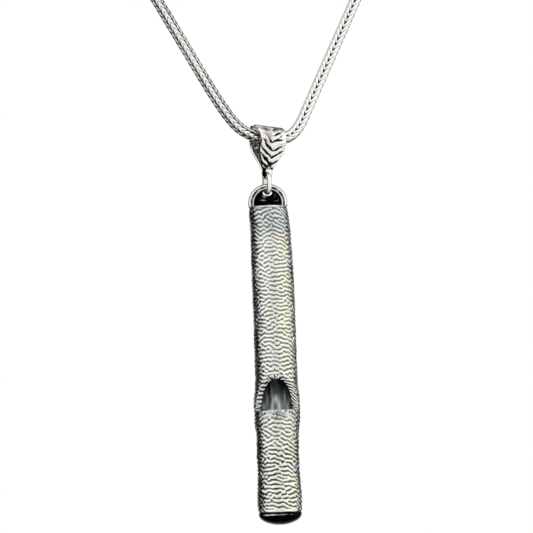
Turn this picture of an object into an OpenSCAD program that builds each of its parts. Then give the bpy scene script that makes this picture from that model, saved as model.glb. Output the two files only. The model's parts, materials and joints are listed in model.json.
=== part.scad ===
// Whistle pendant on a woven chain. A silver tube with a sound window and a
// domed fipple plug hangs by a lug, an oval link and a folded bail from the
// bight of a round woven chain. Each chain end is held in a cap: the left
// one carries a spring-ring clasp, the right one a plain closed ring.
// Frame: the origin is midway between the bores of the two rings, +Z is up,
// the chain hangs in the XZ plane and the front is towards -Y.

/* [Whistle tube] */
// Length of the tube without its end cap
tube_len = 65; // [62:0.5:68]
// Outside diameter of the plain tube
tube_d = 9; // [8.8:0.1:9.3]
// Wall thickness of the plain tube
wall = 0.78; // [0.74:0.02:0.8]
// Outside diameter at the flared mouth
mouth_d = 9.4; // [9.3:0.1:9.8]
// Outside diameter of the swelling around the window
swell_d = 9.8; // [9.4:0.1:10]
// Outside diameter at the top of the tube
neck_d = 8.3; // [8.2:0.1:8.6]

/* [Window and plug] */
// Height of the window's straight lower edge above the mouth
window_z = 21.7; // [20:0.1:24]
// Distance of the scooped cut from the axis at the lower edge
window_depth = 1.6; // [1.4:0.1:1.9]
// Height of the opening above its lower edge, at the inside of the wall
window_h = 6.5; // [6:0.1:6.8]
// Height of the windway above the flat of the plug
windway_h = 1.05; // [0.8:0.05:1.3]
// Gap between the mouth's rim and the plug's domed head
plug_gap = 0.45; // [0.3:0.05:0.6]
// Height of the plug's domed head
dome_h = 2.25; // [1.8:0.05:2.8]
// Diameter of the plug's domed head
dome_d = 9.2; // [8.8:0.1:9.4]

/* [Hanging parts] */
// Turn of the whistle about its own axis, away from the chain's plane
whistle_turn = 20; // [0:1:24]
// Radius of the lug's rim, to the middle of its bar
lug_r = 3.5; // [3.3:0.1:3.5]
// Thickness of the lug's bar
lug_bar_d = 1.4; // [1.2:0.05:1.4]
// Thickness of the lug's sunk web
web_t = 0.6; // [0.5:0.1:0.7]
// Wire diameter of the oval link
link_wire_d = 0.96; // [0.8:0.02:0.98]
// Height of the oval link, between the middles of its wire
link_h = 4.2; // [4.2:0.1:4.8]
// Width of the oval link, between the middles of its wire
link_w = 3; // [3:0.1:3.4]

/* [Bail] */
// Width of the bail along its fold
bail_w = 6.4; // [6:0.1:6.6]
// Thickness of the bail's sheet
bail_t = 0.55; // [0.45:0.05:0.6]
// Inside radius of the bail's fold
fold_r = 2.2; // [2.1:0.05:2.4]
// Distance from the fold's centre to the link's hole
bail_len = 7.53; // [7.3:0.01:7.8]
// Lean of the bail in its own plane
bail_lean = 5; // [4:0.5:6]
// Turn of the bail about the vertical, away from the chain's plane
bail_turn = 12; // [8:1:13]

/* [Chain and ends] */
// Diameter of the woven chain
chain_d = 2.5; // [2.2:0.1:2.5]
// Radius of the bore in both end rings
ring_bore_r = 1.8; // [1.7:0.05:1.85]
// Outside diameter of an end cap
cap_d = 3.5; // [3.3:0.1:3.8]
// Travel of the clasp's bolt in degrees
bolt_travel = 44; // [38:1:44]

/* [Hidden] */
$fn = 96;

// Route of the chain's middle line in the XZ plane, from the left cap to the
// right one. The straight ends point at the centres of the end rings, which
// are ring_x to each side of the origin.
ring_x = 30.4;
ROUTE = [
    [-25.6, -8.16], [-22.4, -13.6], [-20.4, -17], [-18.4, -20.4],
    [-16.4, -23.8], [-14.4, -27.2], [-12.4, -30.6], [-10.5, -33.8],
    [-8.7, -36.6], [-7, -39], [-5.4, -40.9], [-3.8, -42.2],
    [-2.2, -43], [-0.2, -43.7], [1.9, -44], [4, -44.05],
    [6.2, -43.7], [7.5, -43], [8.8, -41.7], [9.9, -40],
    [11, -37.9], [12.4, -35.1], [14.4, -31.2], [16.4, -27.3],
    [18.4, -23.4], [20.4, -19.5], [22.4, -15.6], [24.4, -11.7],
    [26.1, -8.385]];
bight_z = -44;
axis_x = 1.244;
chain_sides = 8;

// Heights, from the bight down to the mouth
hole_z = bight_z - bail_len * cos(bail_lean);
link_low_z = hole_z - link_h;
hang_gap = 0.1;
bar_z = link_low_z + link_wire_d / 2 + hang_gap + lug_bar_d / 2;
lug_leg = 0.7;
lug_base_z = bar_z - lug_r - lug_leg;
cap_plate = 0.5;
rim_z = lug_base_z - cap_plate - tube_len;

// Tube: heights above the mouth of the flare's two ends, and lengths of the
// ramps to the swelling and of the taper to the top
tube_r = tube_d / 2;
bore_r = tube_r - wall;
lip_bevel_w = 0.2;
lip_bevel_h = 0.4;
flare_h = 4.5;
flare_end = 7.5;
swell_below = 2.3;
swell_above = 2.5;
swell_ramp_low = 2.5;
swell_ramp_top = 4;
taper_len = 14;
taper_end = 3;
taper_end_step = 0.1;

// Top cap and plug
fit_gap = 0.01;
cap_inset = 0.05;
top_plug = 0.8;
dome_r = dome_d / 2;
dome_sphere_r = (dome_r * dome_r + dome_h * dome_h) / (2 * dome_h);

// Lug: the link's slot touches the underside of the bar
lug_slot_r = 0.625;
lug_slot_dx = 0.375;
lug_slot_z = bar_z - lug_bar_d / 2 - lug_slot_r;

// Window: the cut starts at a shallow slope and curls outwards with height
window_slope = 0.2;
window_reach = 9;
window_curl = (bore_r - window_depth - window_slope * window_h) / pow(window_h, 3);

// Bail: its outline in its own frame, with the fold's centre at the origin
fold_out_r = fold_r + bail_t;
lobe_r = 1.3;
lobe_z = -bail_len;
pinch_z = -6.2;
link_hole_r = 0.75;
shoulder_z = -2.6;
waist_z = -4.7;
waist_w = 4.5;
tip_w = 2.5;

// End rings and the eyes that tie them to the caps, measured along the strand
// from a ring's centre
last = len(ROUTE) - 1;
left_dx = ROUTE[0][0] + ring_x;
left_dz = -ROUTE[0][1];
right_dx = ring_x - ROUTE[last][0];
right_dz = -ROUTE[last][1];
left_lean = atan2(left_dx, left_dz);
right_lean = atan2(right_dx, right_dz);
left_end = norm([left_dx, left_dz]);
right_end = norm([right_dx, right_dz]);
clasp_mid_r = 2.75;
clasp_wire_r = 1.1;
ring_mid_r = 2.45;
ring_wire_r = 0.85;
clasp_eye_at = 4.7;
ring_eye_at = 4.2;
eye_r = 1.15;
eye_hole_r = 0.6;
eye_t = 0.8;
jump_r = 1.3;
jump_wire_r = 0.4;
eye_step = 2 * jump_r;
cap_neck = 0.9;
cap_taper = 0.8;
cap_socket = 3.4;
cap_collar = 0.2;
cap_play = 0.02;

// Clasp bolt, in degrees about the ring's bore
gate_from = 20;
gate_to = 55;
pocket = 8;
bolt_from = 12.5;
bolt_arc = 102;
channel_to = 200;
bolt_r = 0.5;
channel_r = 0.58;
knob_at = 75;
knob_r = 0.3;
knob_head_r = 0.5;
knob_out = 4.2;
knob_gap = 0.08;
knob_half_arc = 6;
slot_play = 3;
spring_arc = 36;
spring_hole_r = 0.3;

// ---- shared frames and shapes ----

// The whistle's own frame: its mouth at the origin, its window towards -Y
module whistle_frame() {
    translate([axis_x, 0, rim_z])
        rotate([0, 0, -whistle_turn])
            children();
}

// A strand's frame: an end ring at the origin, the chain leaving along -Z
module left_frame() {
    translate([-ring_x, 0, 0])
        rotate([0, -left_lean, 0])
            children();
}

module right_frame() {
    translate([ring_x, 0, 0])
        rotate([0, right_lean, 0])
            children();
}

// Turns a shape drawn in XY so that it stands in XZ
module upright() {
    rotate([90, 0, 0])
        children();
}

// Section of an end ring's wire, flat along the bore
module ring_section(mid_r, wire_r) {
    intersection() {
        translate([mid_r, 0])
            circle(wire_r);
        translate([ring_bore_r, -wire_r])
            square([mid_r, 2 * wire_r]);
    }
}

// Flat eye with its hole along Y, at a distance down the strand
module eye(at) {
    translate([0, eye_t / 2, -at])
        upright()
            cylinder(r = eye_r, h = eye_t);
}

module eye_hole(at) {
    translate([0, eye_t, -at])
        upright()
            cylinder(r = eye_hole_r, h = 2 * eye_t);
}

// Round ring that ties two eyes together
module jump_ring(at) {
    translate([0, 0, -at])
        rotate([0, 90, 0])
            rotate_extrude()
                translate([jump_r, 0])
                    circle(jump_wire_r);
}

// End cap: an eye, a taper and a socket that the chain is fixed in
module end_cap(eye_at, chain_end) {
    body_top = eye_at + cap_neck;
    body_low = chain_end + cap_socket;
    collar_r = cap_d / 2 + cap_collar;
    difference() {
        union() {
            eye(eye_at);
            rotate_extrude()
                polygon([[0, -body_low], [collar_r, -body_low],
                    [collar_r, -body_low + cap_taper], [cap_d / 2, -body_low + cap_taper],
                    [cap_d / 2, -body_top - cap_taper], [eye_t / 2, -body_top],
                    [0, -body_top]]);
        }
        eye_hole(eye_at);
        translate([0, 0, -body_low - 1])
            cylinder(r = chain_d / 2 + cap_play, h = cap_socket + 1);
    }
}

// ---- chain ----

function step_dir(i) = let (d = ROUTE[i + 1] - ROUTE[i]) d / norm(d);
function route_dir(i) =
    i == 0 ? step_dir(0)
    : i == last ? step_dir(last - 1)
    : let (d = step_dir(i - 1) + step_dir(i)) d / norm(d);

// One ring of the tube: across the route in its plane, and along Y
function chain_ring(i) =
    let (d = route_dir(i), p = ROUTE[i])
    [for (k = [0:chain_sides - 1])
        let (a = 360 * (k + 0.5) / chain_sides,
            u = chain_d / 2 * cos(a),
            v = chain_d / 2 * sin(a))
        [p[0] + u * d[1], v, p[1] - u * d[0]]];

function side_faces(i) =
    [for (k = [0:chain_sides - 1])
        let (n = (k + 1) % chain_sides, a = i * chain_sides, b = a + chain_sides)
        [a + k, a + n, b + n, b + k]];

module chain() {
    points = [for (i = [0:last]) each chain_ring(i)];
    start_face = [for (k = [chain_sides - 1:-1:0]) k];
    end_face = [for (k = [0:chain_sides - 1]) last * chain_sides + k];
    sides = [for (i = [0:last - 1]) each side_faces(i)];
    color("silver")
        polyhedron(points, concat([start_face], sides, [end_face]));
}

// ---- chain ends ----

module left_end_cap() {
    color("silver")
        left_frame()
            end_cap(clasp_eye_at + eye_step, left_end);
}

module right_end_cap() {
    color("silver")
        right_frame()
            end_cap(ring_eye_at + eye_step, right_end);
}

module clasp_link() {
    color("silver")
        left_frame()
            jump_ring(clasp_eye_at + jump_r);
}

module ring_link() {
    color("silver")
        right_frame()
            jump_ring(ring_eye_at + jump_r);
}

// Arc of round bar about a ring's bore, from one angle over an arc
module ring_arc(from, arc, mid_r, bar_r) {
    rotate([0, 0, from])
        rotate_extrude(angle = arc)
            translate([mid_r, 0])
                circle(bar_r);
}

module clasp_body() {
    color("gainsboro")
        difference() {
            union() {
                translate([-ring_x, 0, 0])
                    upright()
                        rotate([0, 0, gate_to])
                            rotate_extrude(angle = 360 - gate_to + gate_from)
                                ring_section(clasp_mid_r, clasp_wire_r);
                left_frame()
                    eye(clasp_eye_at);
            }
            left_frame()
                eye_hole(clasp_eye_at);
            translate([-ring_x, 0, 0])
                upright()
                    clasp_channel();
        }
}

// Everything hollow in the clasp: the bolt's channel, pocket and knob slot
module clasp_channel() {
    slot_from = knob_at - slot_play - knob_half_arc;
    slot_arc = bolt_travel + 2 * slot_play + 2 * knob_half_arc;
    ring_arc(gate_from - pocket, channel_to - gate_from + pocket, clasp_mid_r, channel_r);
    rotate([0, 0, slot_from])
        rotate_extrude(angle = slot_arc)
            translate([clasp_mid_r, -knob_r - knob_gap])
                square([2 * clasp_wire_r, 2 * (knob_r + knob_gap)]);
}

module clasp_bolt() {
    color("silver")
        translate([-ring_x, 0, 0])
            upright()
                union() {
                    ring_arc(bolt_from, bolt_arc, clasp_mid_r, bolt_r);
                    rotate([0, 0, knob_at])
                        translate([clasp_mid_r, 0, 0])
                            rotate([0, 90, 0])
                                cylinder(r = knob_r, h = knob_out - clasp_mid_r);
                    rotate([0, 0, knob_at])
                        translate([knob_out, 0, 0])
                            sphere(knob_head_r);
                }
}

module clasp_spring() {
    color("dimgray")
        translate([-ring_x, 0, 0])
            upright()
                difference() {
                    ring_arc(channel_to - spring_arc, spring_arc, clasp_mid_r, bolt_r);
                    ring_arc(channel_to - spring_arc - 1, spring_arc + 2, clasp_mid_r, spring_hole_r);
                }
}

module end_ring() {
    color("gainsboro")
        difference() {
            union() {
                translate([ring_x, 0, 0])
                    upright()
                        rotate_extrude()
                            ring_section(ring_mid_r, ring_wire_r);
                right_frame()
                    eye(ring_eye_at);
            }
            right_frame()
                eye_hole(ring_eye_at);
        }
}

// ---- bail ----

// Side view of the folded sheet, outside and inside
module fold_outside() {
    circle(fold_out_r);
    polygon([[-fold_out_r, 0], [-bail_t, pinch_z], [-bail_t, lobe_z - lobe_r],
        [bail_t, lobe_z - lobe_r], [bail_t, pinch_z], [fold_out_r, 0]]);
}

module fold_inside() {
    circle(fold_r);
    polygon([[-fold_r, 0], [0, pinch_z], [fold_r, 0]]);
}

// Front view of one leaf: a shield that ends in a round lobe
module leaf_outline() {
    top_z = fold_out_r + 1;
    tip_z = lobe_z + lobe_r / 2;
    polygon([[-bail_w / 2, top_z], [-bail_w / 2, shoulder_z], [-waist_w / 2, waist_z],
        [-tip_w / 2, tip_z], [tip_w / 2, tip_z],
        [waist_w / 2, waist_z], [bail_w / 2, shoulder_z], [bail_w / 2, top_z]]);
    translate([0, lobe_z])
        circle(lobe_r);
}

module bail() {
    color("silver")
        translate([axis_x, 0, hole_z])
            rotate([0, bail_lean, bail_turn])
                translate([0, 0, bail_len])
                    difference() {
                        intersection() {
                            rotate([90, 0, 90])
                                linear_extrude(bail_w + 2, center = true)
                                    difference() {
                                        fold_outside();
                                        fold_inside();
                                    }
                            upright()
                                linear_extrude(4 * fold_out_r, center = true)
                                    leaf_outline();
                        }
                        translate([0, 2 * bail_t, lobe_z])
                            upright()
                                cylinder(r = link_hole_r, h = 4 * bail_t);
                    }
}

// ---- link and whistle ----

// One round end of the oval link, drawn over the upper half of its plane
module link_bend() {
    rotate([90, 0, 90])
        rotate_extrude(angle = 180)
            translate([link_w / 2, 0])
                circle(link_wire_d / 2);
}

module oval_link() {
    straight = link_h - link_w;
    color("silver")
        translate([axis_x, 0, hole_z - link_h / 2])
            union() {
                translate([0, 0, straight / 2])
                    link_bend();
                translate([0, 0, -straight / 2])
                    mirror([0, 0, 1])
                        link_bend();
                for (side = [-1, 1])
                    translate([0, side * link_w / 2, -straight / 2])
                        cylinder(r = link_wire_d / 2, h = straight);
            }
}

module hanging_lug() {
    centre_h = bar_z - lug_r - rim_z;
    base_h = lug_base_z - rim_z;
    color("silver")
        whistle_frame()
            union() {
                translate([0, 0, centre_h])
                    upright()
                        rotate_extrude(angle = 180)
                            translate([lug_r, 0])
                                circle(lug_bar_d / 2);
                for (side = [-1, 1])
                    translate([side * lug_r, 0, base_h])
                        cylinder(r = lug_bar_d / 2, h = lug_leg);
                upright()
                    linear_extrude(web_t, center = true)
                        lug_web(centre_h, base_h);
            }
}

// The sunk web that fills the lug, with the link's slot at its top
module lug_web(centre_h, base_h) {
    difference() {
        union() {
            intersection() {
                translate([0, centre_h])
                    circle(lug_r);
                translate([-lug_r, centre_h])
                    square([2 * lug_r, lug_r]);
            }
            translate([-lug_r, base_h])
                square([2 * lug_r, lug_leg]);
        }
        translate([0, lug_slot_z - rim_z]) {
            for (side = [-1, 1])
                translate([side * lug_slot_dx, 0])
                    circle(lug_slot_r);
            square([2 * lug_slot_dx, 2 * lug_slot_r], center = true);
        }
    }
}

module top_cap() {
    color("silver")
        whistle_frame()
            union() {
                translate([0, 0, tube_len])
                    cylinder(r = neck_d / 2 - cap_inset, h = cap_plate);
                translate([0, 0, tube_len - top_plug])
                    cylinder(r = bore_r - fit_gap, h = top_plug);
            }
}

// Outside of the tube: flared mouth, plain lower length, swelling around the
// window, long plain body and a slight taper to the top
module tube_outside() {
    mouth_r = mouth_d / 2;
    swell_r = swell_d / 2;
    neck_r = neck_d / 2;
    swell_low = window_z - swell_below;
    swell_top = window_z + swell_above;
    polygon([[0, 0], [mouth_r - lip_bevel_w, 0], [mouth_r, lip_bevel_h],
        [mouth_r, flare_h], [tube_r, flare_end], [tube_r, swell_low - swell_ramp_low],
        [swell_r, swell_low], [swell_r, swell_top],
        [tube_r, swell_top + swell_ramp_top], [tube_r, tube_len - taper_len],
        [neck_r + taper_end_step, tube_len - taper_end], [neck_r, tube_len],
        [0, tube_len]]);
}

// Distance of the scooped cut in front of the axis, at a height over its edge
function window_out(h) = window_depth + window_slope * h + window_curl * pow(h, 3);

// Space in front of the scooped cut and above the window's lower edge
module window_cut() {
    outside = -2 * tube_d;
    curve = [for (h = [0:window_reach]) [-window_out(h), window_z + h]];
    rotate([90, 0, 90])
        linear_extrude(2 * tube_d, center = true)
            polygon(concat(curve, [[outside, window_z + window_reach], [outside, window_z]]));
}

module whistle_tube() {
    color("silver")
        whistle_frame()
            difference() {
                rotate_extrude()
                    tube_outside();
                translate([0, 0, -1])
                    cylinder(r = bore_r, h = tube_len + 2);
                window_cut();
            }
}

// Block with a windway flat, and the domed head that closes the mouth
module fipple_plug() {
    block_r = bore_r - fit_gap;
    flat_y = bore_r - windway_h;
    color("dimgray")
        whistle_frame()
            union() {
                difference() {
                    translate([0, 0, -plug_gap])
                        cylinder(r = block_r, h = window_z + plug_gap);
                    translate([-tube_r, -tube_d - flat_y, -plug_gap - 1])
                        cube([tube_d, tube_d, window_z + 3]);
                }
                intersection() {
                    translate([0, 0, dome_sphere_r - plug_gap - dome_h])
                        sphere(dome_sphere_r);
                    translate([0, 0, -plug_gap - 2 * dome_h])
                        cylinder(r = dome_r, h = 2 * dome_h);
                }
            }
}

chain();
left_end_cap();
clasp_link();
clasp_body();
clasp_bolt();
clasp_spring();
right_end_cap();
ring_link();
end_ring();
bail();
oval_link();
hanging_lug();
top_cap();
whistle_tube();
fipple_plug();
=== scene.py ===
import json
import math

import bmesh
import bpy
import numpy as np
from mathutils import Matrix, Vector


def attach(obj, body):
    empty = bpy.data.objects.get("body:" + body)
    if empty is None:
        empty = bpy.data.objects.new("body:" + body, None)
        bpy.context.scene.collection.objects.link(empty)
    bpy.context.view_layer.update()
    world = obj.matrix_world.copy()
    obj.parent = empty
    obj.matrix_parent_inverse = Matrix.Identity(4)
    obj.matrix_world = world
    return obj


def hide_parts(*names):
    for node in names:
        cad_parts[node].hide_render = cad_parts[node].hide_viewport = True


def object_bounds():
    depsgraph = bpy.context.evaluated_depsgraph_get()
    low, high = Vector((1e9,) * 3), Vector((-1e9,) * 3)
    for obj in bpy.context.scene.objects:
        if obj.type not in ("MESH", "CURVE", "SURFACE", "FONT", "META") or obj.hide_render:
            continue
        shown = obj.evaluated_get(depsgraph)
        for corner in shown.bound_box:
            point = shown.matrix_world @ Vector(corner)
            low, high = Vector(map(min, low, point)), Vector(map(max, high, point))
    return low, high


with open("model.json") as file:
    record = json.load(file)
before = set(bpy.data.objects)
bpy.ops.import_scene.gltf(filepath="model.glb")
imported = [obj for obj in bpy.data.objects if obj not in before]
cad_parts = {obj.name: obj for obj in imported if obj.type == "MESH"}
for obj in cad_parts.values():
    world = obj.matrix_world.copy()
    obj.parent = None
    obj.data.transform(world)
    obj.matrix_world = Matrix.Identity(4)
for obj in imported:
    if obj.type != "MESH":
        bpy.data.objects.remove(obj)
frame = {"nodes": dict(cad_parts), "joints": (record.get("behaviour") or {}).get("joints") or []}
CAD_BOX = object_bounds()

# Whistle pendant on a woven chain. Lengths are in millimetres until a mesh is
# made; the frame is the CAD's: +Z up, front towards -Y, the chain in XZ.
MM = 0.001

# ---- sizes shared with the CAD model ----
ROUTE = [
    (-25.6, -8.16), (-22.4, -13.6), (-20.4, -17), (-18.4, -20.4),
    (-16.4, -23.8), (-14.4, -27.2), (-12.4, -30.6), (-10.5, -33.8),
    (-8.7, -36.6), (-7, -39), (-5.4, -40.9), (-3.8, -42.2),
    (-2.2, -43), (-0.2, -43.7), (1.9, -44), (4, -44.05),
    (6.2, -43.7), (7.5, -43), (8.8, -41.7), (9.9, -40),
    (11, -37.9), (12.4, -35.1), (14.4, -31.2), (16.4, -27.3),
    (18.4, -23.4), (20.4, -19.5), (22.4, -15.6), (24.4, -11.7),
    (26.1, -8.385)]
JOINTS = {j["name"]: j for j in frame["joints"]}


def joint_point(name):
    """A joint's centre in millimetres."""
    return np.array(JOINTS[name]["pos_m"]) / MM


def joint_axis(name):
    """A joint's axis, one long."""
    axis = np.array(JOINTS[name]["axis"], float)
    return axis / np.linalg.norm(axis)


BIGHT = joint_point("bail_swing")
HOLE = joint_point("link_swing")
BAR = joint_point("whistle_swing")
WHISTLE_TURN = -math.atan2(joint_axis("whistle_swing")[1], joint_axis("whistle_swing")[0])
BAIL_LEAN = -math.asin(joint_axis("bail_swing")[2])
BAIL_TURN = math.atan2(joint_axis("bail_swing")[1], joint_axis("bail_swing")[0])

TUBE_LEN = 65.0
TUBE_R = 4.5
MOUTH_R = 4.7
SWELL_R = 4.9
BORE_R = 3.72
# the tube's outside, as heights over its mouth and radii
TUBE_PROFILE = [
    (0, 4.62), (0.4, MOUTH_R), (4.5, MOUTH_R), (7.5, TUBE_R), (16.9, TUBE_R), (19.4, SWELL_R),
    (24.2, SWELL_R), (28.2, TUBE_R), (51, TUBE_R), (62, 4.25), (64.3, 4.15), (65, 4.02)]
# the window's scooped cut, which curls out to the bore's radius at its top
WINDOW_Z = 21.7
WINDOW_DEPTH = 1.6
WINDOW_H = 6.5
WINDOW_SLOPE = 0.2
WINDOW_REACH = 9
WINDOW_CURL = (BORE_R - WINDOW_DEPTH - WINDOW_SLOPE * WINDOW_H) / WINDOW_H ** 3
WINDWAY_H = 1.05
PLUG_GAP = 0.45
DOME_H = 2.25
DOME_R = 4.6
DOME_FULL = 1.05
CAP_R = 4.08
CAP_PLATE = 0.5
CAP_SPIGOT = 0.8
LUG_R = 3.5
LUG_BAR_R = 0.7
LUG_LEG = 0.7
LUG_WEB = 0.6
LUG_SLOT_W = 0.995
LUG_SLOT_H = 0.61
LINK_WIRE_R = 0.48
LINK_H = 4.2
LINK_W = 3.0
BAIL_W = 6.4
BAIL_T = 0.55
FOLD_R = 2.2
BAIL_LEN = 7.53
PINCH = 6.2
LOBE_R = 1.3
MOUTH = np.array([BAR[0], 0, BAR[2] - LUG_R - LUG_LEG - CAP_PLATE - TUBE_LEN])

# ---- camera and light ----
# The picture is VIEW_W wide at the object. Angles are in degrees.
VIEW_W = 114.2
SENSOR_W = 36
CAMERA_AZ = -math.degrees(WHISTLE_TURN)
CAMERA_EL = -4.0
CAMERA_ROLL = 2.3
CAMERA_DIST = 900.0
TARGET_SIDE = -0.83
TARGET_Z = -71.5
# The studio's colours by the cosine of the angle to the front light, to
# straight up, to the camera's side and to the side straight behind.
LIGHT_SWING = 12
LIGHT_RISE = 0.15
FRONT_STOPS = [
    (-0.46, (0.02, 0.02, 0.02)), (-0.23, (0.5, 0.52, 0.54)), (0.0, (1.0, 1.01, 1.01)),
    (0.5, (1.18, 1.18, 1.15)), (1.0, (1.2, 1.2, 1.15))]
HEIGHT_STOPS = [
    (-0.9, (0.5, 0.5, 0.52)), (-0.4, (0.9, 0.9, 0.91)), (0.0, (1.0, 1.0, 1.0)),
    (0.5, (1.0, 1.0, 1.0)), (0.85, (0.7, 0.7, 0.7)), (1.0, (0.55, 0.55, 0.55))]
GAP_STOPS = [(0.86, (1.0, 1.0, 1.0)), (0.95, (0.68, 0.68, 0.69))]
BACK_STOPS = [(0.8, (0.0, 0.0, 0.0)), (0.95, (0.9, 0.9, 0.9))]
# the floor, in metres, and its paper
FLOOR_DROP = 0.035
FLOOR_HALF = 3.0
PAPER = (0.95, 0.95, 0.95)
PAPER_ROUGH = 0.9


# ---- shapes and noise ----

def step(x, low, high):
    """Smooth step from 0 at low to 1 at high."""
    t = np.clip((x - low) / (high - low), 0, 1)
    return t * t * (3 - 2 * t)


def band(x, rise, fall):
    """1 between two smooth steps: up over the range rise, down over fall."""
    return step(x, *rise) * (1 - step(x, *fall))


def between(pair, t):
    """From a pair's first value at t = 0 to its second at t = 1."""
    return pair[0] + (pair[1] - pair[0]) * t


def round_angles(count):
    """Angles evenly spaced round a circle."""
    return np.linspace(0, 2 * math.pi, count, endpoint=False)


def unit(vectors):
    """Vectors made one long."""
    return vectors / np.linalg.norm(vectors, axis=-1, keepdims=True)


def distance_along(points):
    """Each point's distance along a line of points."""
    steps = np.linalg.norm(np.diff(points, axis=0), axis=1)
    return np.concatenate([[0], np.cumsum(steps)])


def turn_z(points, angle):
    """Points turned about Z."""
    c, s = math.cos(angle), math.sin(angle)
    p = np.asarray(points, float)
    return np.stack([c * p[..., 0] - s * p[..., 1], s * p[..., 0] + c * p[..., 1], p[..., 2]], -1)


def from_whistle(points):
    """From the whistle's own frame, its mouth at the origin, to the row's."""
    return turn_z(points, -WHISTLE_TURN) + MOUTH


def to_whistle(points):
    """From the row's frame to the whistle's own."""
    return turn_z(points - MOUTH, WHISTLE_TURN)


def grid_faces(rows, cols, closed=False, base=0):
    """Quads between rings of points. closed joins the last ring to the first."""
    faces = []
    for i in range(rows if closed else rows - 1):
        a = base + i * cols
        b = base + ((i + 1) % rows) * cols
        for j in range(cols):
            k = (j + 1) % cols
            faces.append((a + j, a + k, b + k, b + j))
    return faces


def rod_faces(rows, cols, base=0):
    """Quads between rings of points, and a face over each end ring."""
    faces = grid_faces(rows, cols, base=base)
    faces.append(tuple(base + k for k in range(cols - 1, -1, -1)))
    faces.append(tuple(base + (rows - 1) * cols + k for k in range(cols)))
    return faces


def revolve(profile, steps):
    """Rings of points from (radius, height) pairs, row by row."""
    angle = round_angles(steps)
    return np.array([np.stack([r * np.cos(angle), r * np.sin(angle), np.full(steps, z)], -1)
                     for r, z in profile])


def circle_section(radius, sides):
    """A wire's section. radius may differ from point to point."""
    angle = round_angles(sides)
    return np.stack([radius * np.cos(angle), radius * np.sin(angle)], -1)


def sweep(path, across, section, closed=False):
    """Points of a section swept on a path. across gives each point's first
    section axis; the second is square to it and to the path."""
    path, across = np.asarray(path, float), np.asarray(across, float)
    if closed:
        along = np.roll(path, -1, 0) - np.roll(path, 1, 0)
    else:
        along = np.gradient(path, axis=0)
    along = unit(along)
    across = unit(across - along * np.sum(across * along, 1, keepdims=True))
    other = np.cross(along, across)
    return path[:, None] + across[:, None] * section[..., :1] + other[:, None] * section[..., 1:]


def frequencies(rows, cols, height, width):
    """A grid's frequencies up it and across it, per millimetre."""
    return np.fft.fftfreq(rows, height / rows)[:, None], np.fft.fftfreq(cols, width / cols)[None]


def smooth_noise(rows, cols, height, width, scale, seed):
    """Soft noise on a grid that repeats both ways, from -1 to 1 or so."""
    rng = np.random.default_rng(seed)
    kz, kx = frequencies(rows, cols, height, width)
    keep = np.exp(-((kz ** 2 + kx ** 2) * scale ** 2))
    field = np.fft.ifft2(np.fft.fft2(rng.standard_normal((rows, cols))) * keep).real
    return field / (2 * field.std())


# how far the spacing of the labyrinth's ridges varies, and how it is sharpened
SPACING_SPREAD = 0.35
SHARPEN = 1.5
SHARPEN_PASSES = 3


def labyrinth(rows, cols, height, width, spacing, level, seed):
    """Wandering ridges a spacing apart that join and fork, mostly level,
    from -1 in the grooves to 1 on the ridges."""
    field = np.random.default_rng(seed).standard_normal((rows, cols))
    kz, kx = frequencies(rows, cols, height, width)
    k = np.hypot(kz, kx)
    ring = np.exp(-((k * spacing - 1) / SPACING_SPREAD) ** 2)
    lean = (1 - level) + level * kz ** 2 / (k ** 2 + 1e-9)
    for _ in range(SHARPEN_PASSES):
        field = np.fft.ifft2(np.fft.fft2(field) * ring * lean).real
        field = np.tanh(SHARPEN * field / field.std())
    return field


# ---- meshes ----

def add_object(name, data):
    thing = bpy.data.objects.new(name, data)
    bpy.context.scene.collection.objects.link(thing)
    return thing


def closed_mesh(name, points, faces):
    """A mesh from points in millimetres, with all its faces turned outwards."""
    mesh = bpy.data.meshes.new(name)
    mesh.from_pydata((np.asarray(points) * MM).tolist(), [], faces)
    mesh.validate()
    work = bmesh.new()
    work.from_mesh(mesh)
    bmesh.ops.recalc_face_normals(work, faces=work.faces)
    work.to_mesh(mesh)
    work.free()
    return mesh


def make_piece(name, body, points, faces, material, node,
               patina_and_painted_light=None, blue_reflection=None, warm_light=None):
    """A mesh piece that rides on a body and stands for a CAD node. patina_and_painted_light is
    how dark each point is, painted shade and highlights included, and blue_reflection
    and warm_light how strongly a painted blue reflection and a painted warm light tint it."""
    mesh = closed_mesh(name, points, faces)
    mesh.polygons.foreach_set("use_smooth", [True] * len(mesh.polygons))
    for label, values in (("patina_and_painted_light", patina_and_painted_light), ("blue_reflection", blue_reflection), ("warm_light", warm_light)):
        if values is not None:
            layer = mesh.attributes.new(label, "FLOAT", "POINT")
            layer.data.foreach_set("value", np.asarray(values, np.float32))
    mesh.materials.append(material)
    mesh.update()
    piece = add_object(name, mesh)
    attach(piece, body)
    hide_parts(node)
    return piece


# ---- materials ----

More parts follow.
